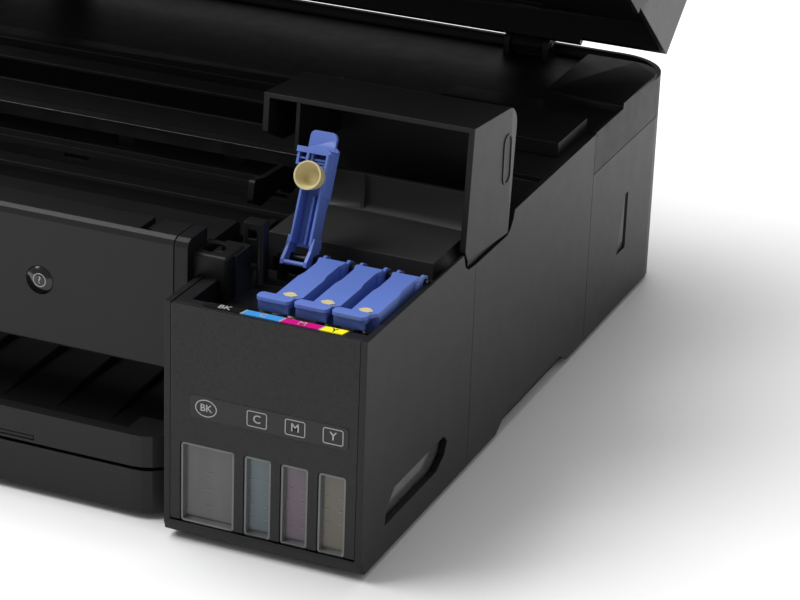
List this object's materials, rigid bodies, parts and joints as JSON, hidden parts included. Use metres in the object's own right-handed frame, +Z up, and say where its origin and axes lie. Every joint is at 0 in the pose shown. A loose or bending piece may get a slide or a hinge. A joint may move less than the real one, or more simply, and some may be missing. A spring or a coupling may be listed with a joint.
{
  "type": "inkjet printer",
  "caption": "Black office inkjet printer with refillable ink tanks, standing open: scanner unit and tank lid raised, one filler lever up.",
  "frame": {"origin": "on the surface it stands on, under the middle of the case", "axes": "+X to the right seen from the front, +Y to the back, +Z up"},
  "size_m": [0.375, 0.397, 0.3598],
  "materials": {
    "case_black": "satin, lightly grained",
    "grain_black": "fine grain",
    "inner_black": "matt",
    "gloss_black": "gloss",
    "lever_blue": "smooth satin",
    "plug_cream": "soft satin",
    "tank_resin": "translucent, smooth",
    "rubber_black": "matt",
    "dark_steel": "satin",
    "bright_steel": "brushed",
    "board_green": "lacquered",
    "scan_glass": "clear",
    "pad_white": "matt foam",
    "guide_grey": "satin"
  },
  "bodies": {
    "chassis": {"base_pan": "inner_black", "carriage_motor": "dark_steel", "carriage_rail": "bright_steel", "chassis_frame": "dark_steel", "drive_belt": "rubber_black", "filler_deck": "inner_black", "foot_front_left": "rubber_black", "foot_front_right": "rubber_black", "foot_rear_left": "rubber_black", "foot_rear_right": "rubber_black", "front_beam": "inner_black", "ink_tank_black": "tank_resin", "ink_tank_cyan": "tank_resin", "ink_tank_magenta": "tank_resin", "ink_tank_yellow": "tank_resin", "left_side_cover": "case_black", "lever_guard": "inner_black", "lever_rod": "dark_steel", "main_board": "board_green", "platen": "inner_black", "platform_cover": "case_black", "power_supply": "inner_black", "rear_cover": "case_black", "right_side_cover": "case_black", "star_wheel_bar": "inner_black", "tank_case": "case_black", "tank_front_plate": "grain_black", "upper_housing": "inner_black"},
    "lid": {"tank_lid": "case_black"},
    "scanner": {"scanner_base": "case_black", "scan_glass": "scan_glass"},
    "cover": {"document_cover": "case_black", "cover_pad": "pad_white"},
    "head": {"scan_head": "inner_black"},
    "panel": {"control_panel": "case_black", "display": "gloss_black"},
    "power": {"power_button": "gloss_black"},
    "pad": {"arrow_pad": "gloss_black"},
    "start": {"start_button": "gloss_black"},
    "stop": {"stop_button": "gloss_black"},
    "help": {"help_button": "gloss_black"},
    "carriage": {"print_carriage": "inner_black", "print_head": "bright_steel"},
    "feed": {"feed_roller": "bright_steel"},
    "eject": {"eject_roller": "rubber_black"},
    "tray": {"output_tray": "case_black"},
    "extension": {"tray_extension": "case_black"},
    "cassette": {"paper_cassette": "case_black"},
    "guide_left": {"side_guide_left": "guide_grey"},
    "guide_right": {"side_guide_right": "guide_grey"},
    "guide_end": {"end_guide": "guide_grey"},
    "duplexer": {"duplexer_cover": "case_black"},
    "lever_black": {"lever_black": "lever_blue", "plug_black": "plug_cream"},
    "lever_cyan": {"lever_cyan": "lever_blue", "plug_cyan": "plug_cream"},
    "lever_magenta": {"lever_magenta": "lever_blue", "plug_magenta": "plug_cream"},
    "lever_yellow": {"lever_yellow": "lever_blue", "plug_yellow": "plug_cream"}
  },
  "joints": [
    {"name": "lid_hinge", "type": "hinge", "parent": "chassis", "child": "lid", "pos_m": [0.147, -0.1026, 0.0776], "axis": [1, 0, 0], "range_deg": [0, 95]},
    {"name": "lever_black_hinge", "type": "hinge", "parent": "chassis", "child": "lever_black", "pos_m": [0.1336, -0.1135, 0.097], "axis": [1, 0, 0], "range_deg": [0, 115]},
    {"name": "lever_cyan_hinge", "type": "hinge", "parent": "chassis", "child": "lever_cyan", "pos_m": [0.14865, -0.1135, 0.097], "axis": [-1, 0, 0], "range_deg": [0, 115]},
    {"name": "lever_magenta_hinge", "type": "hinge", "parent": "chassis", "child": "lever_magenta", "pos_m": [0.1637, -0.1135, 0.097], "axis": [-1, 0, 0], "range_deg": [0, 115]},
    {"name": "lever_yellow_hinge", "type": "hinge", "parent": "chassis", "child": "lever_yellow", "pos_m": [0.17875, -0.1135, 0.097], "axis": [-1, 0, 0], "range_deg": [0, 115]},
    {"name": "scanner_hinge", "type": "hinge", "parent": "chassis", "child": "scanner", "pos_m": [0, 0.163, 0.0995], "axis": [1, 0, 0], "range_deg": [0, 38]},
    {"name": "cover_hinge", "type": "hinge", "parent": "scanner", "child": "cover", "pos_m": [0, 0.21074, 0.15167], "axis": [-1, 0, 0], "range_deg": [0, 75]},
    {"name": "scan_head_slide", "type": "slide", "parent": "scanner", "child": "head", "axis": [1, 0, 0], "range_m": [0, 0.27]},
    {"name": "panel_tilt", "type": "hinge", "parent": "chassis", "child": "panel", "pos_m": [-0.043, -0.146, 0.107], "axis": [-1, 0, 0], "range_deg": [0, 45]},
    {"name": "power_press", "type": "slide", "parent": "panel", "child": "power", "axis": [0, 1, 0], "range_m": [0, 0.0008], "stiffness_N_per_m": 400},
    {"name": "pad_press", "type": "slide", "parent": "panel", "child": "pad", "axis": [0, 1, 0], "range_m": [0, 0.0008], "stiffness_N_per_m": 400},
    {"name": "start_press", "type": "slide", "parent": "panel", "child": "start", "axis": [0, 1, 0], "range_m": [0, 0.0008], "stiffness_N_per_m": 400},
    {"name": "stop_press", "type": "slide", "parent": "panel", "child": "stop", "axis": [0, 1, 0], "range_m": [0, 0.0008], "stiffness_N_per_m": 400},
    {"name": "help_press", "type": "slide", "parent": "panel", "child": "help", "axis": [0, 1, 0], "range_m": [0, 0.0008], "stiffness_N_per_m": 400},
    {"name": "carriage_slide", "type": "slide", "parent": "chassis", "child": "carriage", "axis": [-1, 0, 0], "range_m": [0, 0.25]},
    {"name": "feed_turn", "type": "hinge", "parent": "chassis", "child": "feed", "pos_m": [-0.035, 0.028, 0.0394], "axis": [1, 0, 0], "continuous": true},
    {"name": "eject_turn", "type": "hinge", "parent": "chassis", "child": "eject", "pos_m": [-0.035, -0.042, 0.0394], "axis": [1, 0, 0], "continuous": true},
    {"name": "tray_slide", "type": "slide", "parent": "chassis", "child": "tray", "axis": [0, -1, 0], "range_m": [0, 0.1]},
    {"name": "extension_slide", "type": "slide", "parent": "tray", "child": "extension", "axis": [0, -1, 0], "range_m": [0, 0.06]},
    {"name": "cassette_slide", "type": "slide", "parent": "chassis", "child": "cassette", "axis": [0, -1, 0], "range_m": [0, 0.2]},
    {"name": "guide_left_slide", "type": "slide", "parent": "cassette", "child": "guide_left", "axis": [1, 0, 0], "range_m": [0, 0.05]},
    {"name": "guide_right_slide", "type": "slide", "parent": "cassette", "child": "guide_right", "axis": [1, 0, 0], "range_m": [-0.05, 0]},
    {"name": "end_guide_slide", "type": "slide", "parent": "cassette", "child": "guide_end", "axis": [0, 1, 0], "range_m": [0, 0.06]},
    {"name": "duplexer_slide", "type": "slide", "parent": "chassis", "child": "duplexer", "axis": [0, 1, 0], "range_m": [0, 0.04]}
  ],
  "couplings": [
    {"joint": "guide_right_slide", "follows": "guide_left_slide", "ratio": -1},
    {"joint": "eject_turn", "follows": "feed_turn", "ratio": 1}
  ]
}
